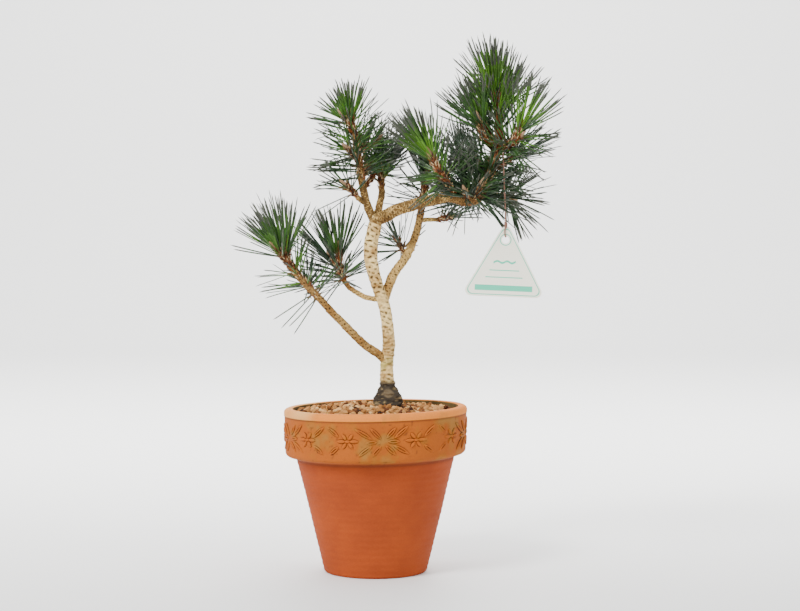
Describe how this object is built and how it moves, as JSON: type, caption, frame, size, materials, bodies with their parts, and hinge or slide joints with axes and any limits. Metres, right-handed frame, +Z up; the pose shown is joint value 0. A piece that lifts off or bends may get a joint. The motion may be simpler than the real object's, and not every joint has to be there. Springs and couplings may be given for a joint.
{
  "type": "potted kotobuki japanese black pine",
  "caption": "Young black pine with a sinuous pale trunk, forked boughs and tufts of long paired needles, in a terracotta pot with a leaf-carved rim and a blank hang tag.",
  "frame": {"origin": "centre of the pot's flat round underside, on the surface that the pot stands on", "axes": "+Z up, along the pot's axis; -Y is the front, seen in the picture, and +X is to its right, where the long bough reaches"},
  "size_m": [0.3433, 0.2037, 0.586],
  "materials": {
    "terracotta": "matte",
    "fired_grains": "matte",
    "trunk_bark": "matte",
    "bough_bark": "matte",
    "pine_needles": "satin",
    "tag_plastic": "satin",
    "tie_thread": "satin"
  },
  "bodies": {
    "root": {"pot": "terracotta", "substrate": "fired_grains", "trunk": "trunk_bark", "bough_right": "bough_bark", "leader_left": "bough_bark", "leader_twig": "bough_bark", "bough_inner": "bough_bark", "bough_rear": "bough_bark", "bough_rear_twig": "bough_bark", "bough_low_left": "bough_bark", "bough_mid_left": "bough_bark", "needles_low_left_tip": "pine_needles", "needles_low_left_older": "pine_needles", "needles_mid_left": "pine_needles", "needles_leader_top": "pine_needles", "needles_leader": "pine_needles", "needles_leader_rear": "pine_needles", "needles_leader_twig": "pine_needles", "needles_inner": "pine_needles", "needles_spur": "pine_needles", "needles_rear_top": "pine_needles", "needles_rear_inner": "pine_needles", "needles_rear_twig": "pine_needles", "needles_right_top": "pine_needles", "needles_right_whorl": "pine_needles", "needles_right_elbow": "pine_needles", "needles_right_low": "pine_needles", "needles_right_rear": "pine_needles", "tag": "tag_plastic", "tag_tie": "tie_thread"}
  },
  "joints": []
}
